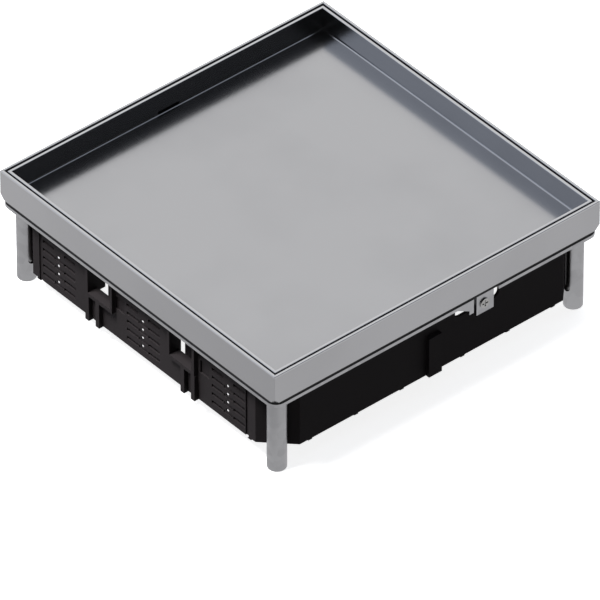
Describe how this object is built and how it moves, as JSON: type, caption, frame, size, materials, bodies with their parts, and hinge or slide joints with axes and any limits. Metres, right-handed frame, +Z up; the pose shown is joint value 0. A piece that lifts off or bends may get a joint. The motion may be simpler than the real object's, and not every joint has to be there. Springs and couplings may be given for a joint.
{
  "type": "floor socket box",
  "caption": "Square floor socket box: lift-off recessed lid in a steel frame, plastic housing with outlet trays, and screw-adjusted levelling feet.",
  "frame": {"origin": "on the floor below the middle of the box, at the ends of the foot sleeves", "axes": "+Z up; X and Y along the sides; the slotted end walls face -X and +X, and the earth terminal faces -Y"},
  "size_m": [0.246, 0.246, 0.0775],
  "materials": {
    "frame_steel": "satin, mitred and welded corners",
    "lid_steel": "satin folded sheet",
    "flange_steel": "galvanised",
    "sleeve_steel": "galvanised tube",
    "foot_steel": "zinc plated",
    "zinc_screws": "zinc plated",
    "zinc_sheet": "galvanised sheet",
    "gasket_rubber": "matt",
    "seal_rubber": "matt",
    "pad_rubber": "matt",
    "housing_plastic": "moulded, fine texture",
    "outlet_plastic": "moulded, gloss",
    "brass_contacts": "bright"
  },
  "bodies": {
    "box": {"outer_frame": "frame_steel", "frame_gasket": "gasket_rubber", "carrier_flange": "flange_steel", "lid_seal": "seal_rubber", "levelling_sleeve_front_left": "sleeve_steel", "levelling_sleeve_front_right": "sleeve_steel", "levelling_sleeve_back_right": "sleeve_steel", "levelling_sleeve_back_left": "sleeve_steel", "housing": "housing_plastic", "housing_screws": "zinc_screws", "tray_screws": "zinc_screws", "device_tray_1": "zinc_sheet", "device_tray_2": "zinc_sheet", "device_tray_3": "zinc_sheet", "power_outlet_1": "outlet_plastic", "power_outlet_2": "outlet_plastic", "power_outlet_3": "outlet_plastic", "power_outlet_4": "outlet_plastic", "power_outlet_5": "outlet_plastic", "power_outlet_6": "outlet_plastic", "data_outlet_1": "outlet_plastic", "data_outlet_2": "outlet_plastic", "earth_clips": "brass_contacts", "jack_contacts": "brass_contacts"},
    "lid": {"lid_tray": "lid_steel", "lid_stiffener": "zinc_sheet"},
    "spindle_front_left": {"levelling_spindle_front_left": "zinc_screws"},
    "foot_front_left": {"levelling_foot_front_left": "foot_steel", "foot_pad_front_left": "pad_rubber"},
    "spindle_front_right": {"levelling_spindle_front_right": "zinc_screws"},
    "foot_front_right": {"levelling_foot_front_right": "foot_steel", "foot_pad_front_right": "pad_rubber"},
    "spindle_back_right": {"levelling_spindle_back_right": "zinc_screws"},
    "foot_back_right": {"levelling_foot_back_right": "foot_steel", "foot_pad_back_right": "pad_rubber"},
    "spindle_back_left": {"levelling_spindle_back_left": "zinc_screws"},
    "foot_back_left": {"levelling_foot_back_left": "foot_steel", "foot_pad_back_left": "pad_rubber"},
    "earth_screw": {"earth_screw": "zinc_screws"},
    "earth_clamp": {"earth_clamp": "brass_contacts"}
  },
  "joints": [
    {"name": "lid_lift", "type": "slide", "parent": "box", "child": "lid", "axis": [0, 0, 1], "range_m": [0, 0.12]},
    {"name": "spindle_turn_front_left", "type": "hinge", "parent": "box", "child": "spindle_front_left", "pos_m": [-0.1126, -0.1126, 0.0552], "axis": [0, 0, 1], "range_deg": [0, 10100]},
    {"name": "foot_travel_front_left", "type": "slide", "parent": "box", "child": "foot_front_left", "axis": [0, 0, -1], "range_m": [0, 0.028]},
    {"name": "spindle_turn_front_right", "type": "hinge", "parent": "box", "child": "spindle_front_right", "pos_m": [0.1126, -0.1126, 0.0552], "axis": [0, 0, 1], "range_deg": [0, 10100]},
    {"name": "foot_travel_front_right", "type": "slide", "parent": "box", "child": "foot_front_right", "axis": [0, 0, -1], "range_m": [0, 0.028]},
    {"name": "spindle_turn_back_right", "type": "hinge", "parent": "box", "child": "spindle_back_right", "pos_m": [0.1126, 0.1126, 0.0552], "axis": [0, 0, 1], "range_deg": [0, 10100]},
    {"name": "foot_travel_back_right", "type": "slide", "parent": "box", "child": "foot_back_right", "axis": [0, 0, -1], "range_m": [0, 0.028]},
    {"name": "spindle_turn_back_left", "type": "hinge", "parent": "box", "child": "spindle_back_left", "pos_m": [-0.1126, 0.1126, 0.0552], "axis": [0, 0, 1], "range_deg": [0, 10100]},
    {"name": "foot_travel_back_left", "type": "slide", "parent": "box", "child": "foot_back_left", "axis": [0, 0, -1], "range_m": [0, 0.028]},
    {"name": "earth_screw_turn", "type": "hinge", "parent": "box", "child": "earth_screw", "pos_m": [0.0362, -0.1215, 0.047], "axis": [0, -1, 0], "range_deg": [0, 2100]},
    {"name": "earth_clamp_travel", "type": "slide", "parent": "box", "child": "earth_clamp", "axis": [0, 1, 0], "range_m": [0, 0.004]}
  ],
  "couplings": [
    {"joint": "spindle_turn_front_left", "follows": "foot_travel_front_left", "rad_per_m": 6283.2},
    {"joint": "spindle_turn_front_right", "follows": "foot_travel_front_right", "rad_per_m": 6283.2},
    {"joint": "spindle_turn_back_right", "follows": "foot_travel_back_right", "rad_per_m": 6283.2},
    {"joint": "spindle_turn_back_left", "follows": "foot_travel_back_left", "rad_per_m": 6283.2},
    {"joint": "earth_screw_turn", "follows": "earth_clamp_travel", "rad_per_m": 8976}
  ]
}
